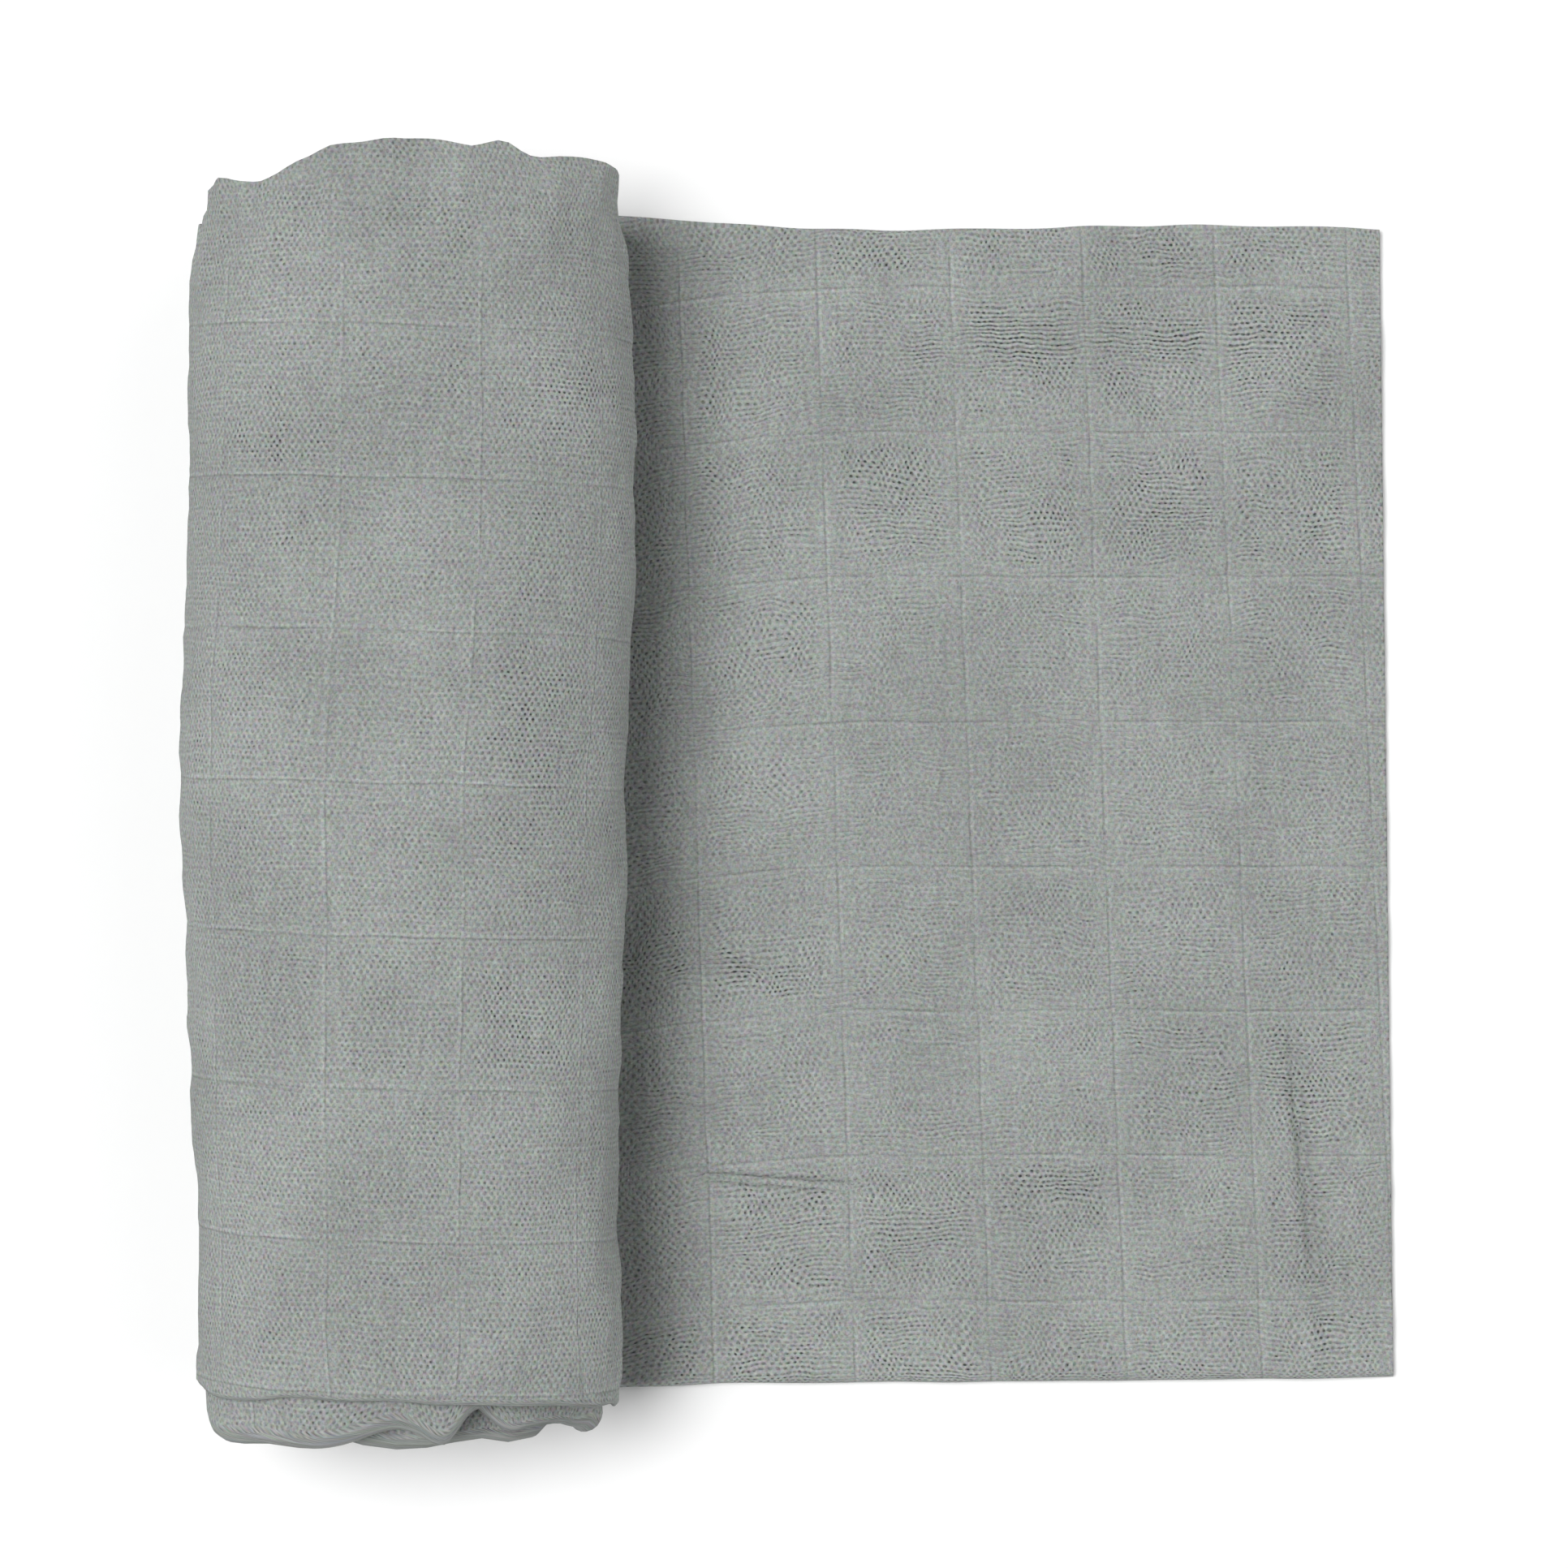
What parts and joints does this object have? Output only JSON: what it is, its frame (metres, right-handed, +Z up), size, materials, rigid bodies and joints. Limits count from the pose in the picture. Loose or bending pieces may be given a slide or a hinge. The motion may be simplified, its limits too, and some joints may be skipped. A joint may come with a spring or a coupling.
{
  "type": "muslin swaddle blanket",
  "caption": "Thin cotton muslin square with a fine windowpane weave, folded to a layered strip and part rolled up, its free end lying flat.",
  "frame": {"origin": "under the middle of the whole thing, on the surface it lies on", "axes": "+Z up, +Y along the roll, +X from the roll towards the strip's free end"},
  "size_m": [0.3121, 0.3257, 0.092],
  "materials": {
    "muslin": "matt, open plain weave"
  },
  "bodies": {
    "root": {"muslin_swaddle": "muslin"}
  },
  "joints": []
}
